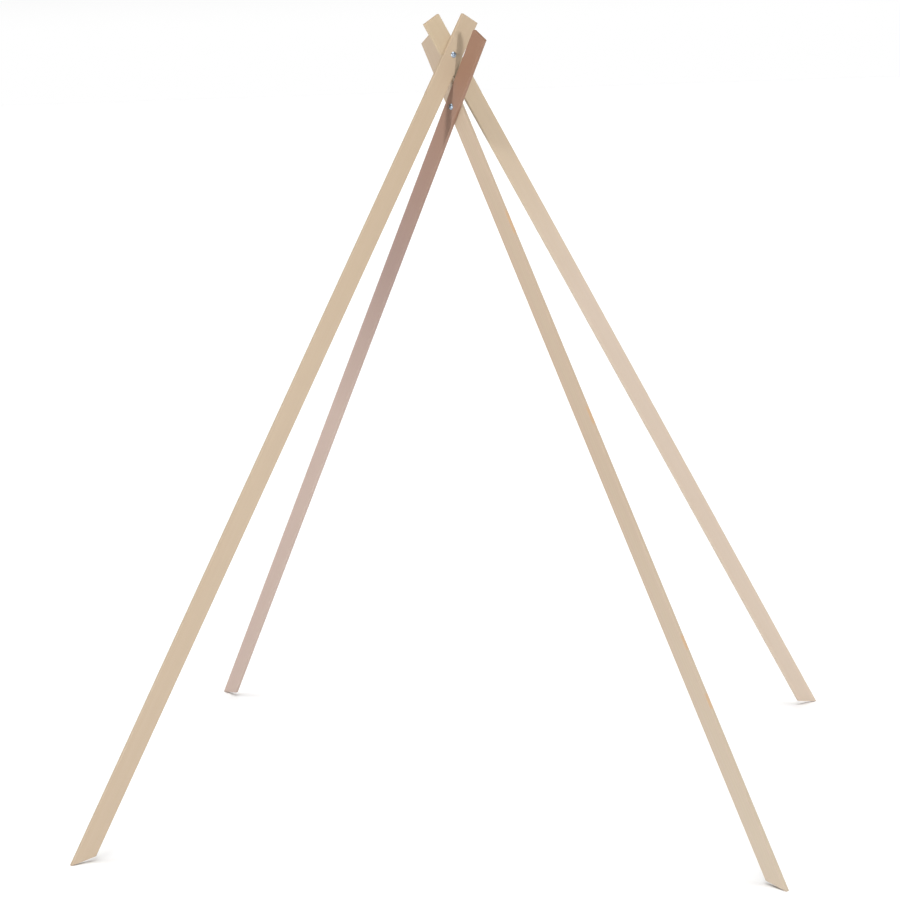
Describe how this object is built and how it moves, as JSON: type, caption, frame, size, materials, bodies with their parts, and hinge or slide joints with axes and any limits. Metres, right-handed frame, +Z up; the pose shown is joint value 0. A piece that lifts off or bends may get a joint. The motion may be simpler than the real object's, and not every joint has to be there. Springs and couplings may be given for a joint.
{
  "type": "play tent frame",
  "caption": "Folding frame of flat wooden slats for a play tent: bolted scissor pairs that interlock near the top and stand on slant-cut feet.",
  "frame": {"origin": "on the floor, midway between the feet. The crossing is 11 to 12 mm to the right of it and 16 to 21 mm behind it", "axes": "+Z up, -Y is the front, +X is to the right seen from the front"},
  "size_m": [1.4367, 1.2396, 1.5983],
  "materials": {
    "slat_wood": "smooth sanded, unvarnished pale softwood",
    "zinc_steel": "bright zinc plated",
    "nylon": "natural nylon"
  },
  "bodies": {
    "lower_pivot": {"lower_bolt": "zinc_steel", "lower_washer": "zinc_steel", "lower_lock_nut": "zinc_steel", "lower_nut_insert": "nylon"},
    "back_left_leg": {"back_left_leg": "slat_wood"},
    "front_right_leg": {"front_right_leg": "slat_wood"},
    "upper_pivot": {"upper_bolt": "zinc_steel", "upper_washer": "zinc_steel", "upper_lock_nut": "zinc_steel", "upper_nut_insert": "nylon"},
    "front_left_leg": {"front_left_leg": "slat_wood"},
    "back_right_leg": {"back_right_leg": "slat_wood"}
  },
  "joints": [
    {"name": "back_left_leg_hinge", "type": "hinge", "parent": "lower_pivot", "child": "back_left_leg", "pos_m": [0.0123, 0.0211, 1.41175], "axis": [-0.6585, -0.7522, 0.0246], "range_deg": [0, 25.81]},
    {"name": "front_right_leg_hinge", "type": "hinge", "parent": "lower_pivot", "child": "front_right_leg", "pos_m": [0.0123, 0.0211, 1.41175], "axis": [0.6585, 0.7522, -0.0246], "range_deg": [0, 25.81]},
    {"name": "upper_pair_lift", "type": "slide", "parent": "lower_pivot", "child": "upper_pivot", "axis": [0.0529, -0.0176, 0.9984], "range_m": [0, 0.341]},
    {"name": "front_left_leg_hinge", "type": "hinge", "parent": "upper_pivot", "child": "front_left_leg", "pos_m": [0.0112, 0.016, 1.51585], "axis": [0.6587, -0.7524, 0.0106], "range_deg": [0, 23.79]},
    {"name": "back_right_leg_hinge", "type": "hinge", "parent": "upper_pivot", "child": "back_right_leg", "pos_m": [0.0112, 0.016, 1.51585], "axis": [-0.6587, 0.7524, -0.0106], "range_deg": [0, 23.79]}
  ],
  "couplings": [
    {"joint": "front_right_leg_hinge", "follows": "back_left_leg_hinge", "ratio": 1},
    {"joint": "upper_pair_lift", "follows": "back_left_leg_hinge", "m_per_rad": 0.7559},
    {"joint": "front_left_leg_hinge", "follows": "back_left_leg_hinge", "ratio": 0.9217},
    {"joint": "back_right_leg_hinge", "follows": "back_left_leg_hinge", "ratio": 0.9217}
  ]
}
